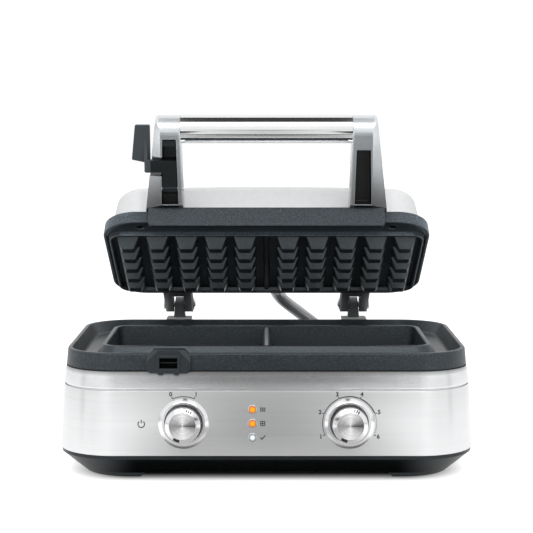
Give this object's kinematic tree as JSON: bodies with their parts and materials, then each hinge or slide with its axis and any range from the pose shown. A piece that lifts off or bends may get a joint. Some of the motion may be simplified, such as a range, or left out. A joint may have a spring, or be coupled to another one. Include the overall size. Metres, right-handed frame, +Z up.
{
  "type": "waffle maker",
  "caption": "Countertop waffle maker with a steel-sided base, a divided dark tray with a run-off moat, two knobs, lamps and a hinged lid with a bar handle and a flip latch.",
  "frame": {"origin": "on the table, under the middle of the part's bounding box to within the checked tolerance", "axes": "+X to the right along the front, +Y from the front to the hinges, +Z up"},
  "size_m": [0.376, 0.2771, 0.3237],
  "materials": {
    "black_plastic": "semi-gloss black moulding",
    "foot_rubber": "matte rubber",
    "zinc_steel": "bright zinc plate",
    "brushed_band": "horizontally brushed stainless steel",
    "satin_silver": "satin silver casting",
    "lid_silver": "satin pressed steel",
    "nonstick_tray": "speckled dark non-stick coating on cast aluminium",
    "nonstick_plate": "speckled dark non-stick coating on cast aluminium",
    "dark_skirt": "dark heat-proof moulding with fine speckle",
    "catch_grey": "dark grey moulding",
    "latch_grey": "charcoal moulding",
    "chrome_bar": "polished chrome",
    "conduit_silver": "smooth silver sleeve",
    "heater_sheath": "sheathed heating rod",
    "shield_sheet": "plain steel sheet",
    "sensor_body": "glazed sensor body",
    "board_green": "printed circuit board",
    "component_black": "moulded component",
    "transformer_core": "laminated core",
    "bezel_chrome": "satin chrome",
    "knob_steel": "polished turned metal",
    "knob_face": "spun face",
    "knob_mark": "black inlay",
    "lamp_amber": "lit amber lens",
    "lamp_clear": "clear lens, unlit"
  },
  "bodies": {
    "base": {"bottom_cover": "black_plastic", "foot_pads": "foot_rubber", "base_screws": "zinc_steel", "body_wrap": "brushed_band", "shoulder_collar": "satin_silver", "lower_plate": "nonstick_tray", "latch_catch": "catch_grey", "lower_element": "heater_sheath", "lower_element_clips": "zinc_steel", "lower_heat_shield": "shield_sheet", "lower_sensor": "sensor_body", "thermal_fuse": "sensor_body", "power_board": "board_green", "relay": "component_black", "transformer": "transformer_core", "terminal_block": "component_black", "cord_gland": "black_plastic", "rear_housing": "satin_silver", "hinge_upright_left": "satin_silver", "hinge_upright_right": "satin_silver", "conduit_gland_base": "satin_silver", "lid_conduit": "conduit_silver", "power_bezel": "bezel_chrome", "power_switch": "component_black", "dial_bezel": "bezel_chrome", "dial_potentiometer": "component_black", "lamp_bezels": "bezel_chrome", "lamp_lens_upper": "lamp_amber", "lamp_lens_middle": "lamp_amber", "lamp_lens_lower": "lamp_clear", "control_board": "board_green"},
    "lid": {"lid_frame": "dark_skirt", "lid_cover": "lid_silver", "upper_plate": "nonstick_plate", "plate_screws": "zinc_steel", "upper_element": "heater_sheath", "upper_element_clips": "zinc_steel", "upper_heat_shield": "shield_sheet", "upper_sensor": "sensor_body", "handle_lip": "dark_skirt", "handle_arm_left": "satin_silver", "handle_arm_right": "satin_silver", "arm_screws": "zinc_steel", "grip_bar": "chrome_bar", "grip_keys": "chrome_bar", "hinge_bracket_left": "satin_silver", "hinge_bracket_right": "satin_silver", "hinge_pins": "zinc_steel", "pin_clips": "zinc_steel", "conduit_gland_lid": "satin_silver", "latch_pin": "zinc_steel"},
    "latch": {"latch_lever": "latch_grey"},
    "power": {"power_knob": "knob_steel", "power_mark": "knob_mark", "power_cap": "knob_face", "power_shaft": "zinc_steel"},
    "dial": {"dial_knob": "knob_steel", "dial_mark": "knob_mark", "dial_cap": "knob_face", "dial_shaft": "zinc_steel"}
  },
  "joints": [
    {"name": "lid_hinge", "type": "hinge", "parent": "base", "child": "lid", "pos_m": [0, 0.13, 0.1275], "axis": [-1, 0, 0], "range_deg": [-29.45, 70.55], "deforming": ["lid_conduit"]},
    {"name": "latch_flip", "type": "hinge", "parent": "lid", "child": "latch", "pos_m": [-0.0874, -0.06281, 0.25708], "axis": [1, 0, 0], "range_deg": [0, 115]},
    {"name": "power_turn", "type": "hinge", "parent": "base", "child": "power", "pos_m": [-0.0735, -0.1184, 0.052], "axis": [0, -0.9985, 0.0551], "range_deg": [0, 47]},
    {"name": "dial_turn", "type": "hinge", "parent": "base", "child": "dial", "pos_m": [0.0735, -0.1184, 0.052], "axis": [0, -0.9985, 0.0551], "range_deg": [-91.5, 138.5]}
  ]
}
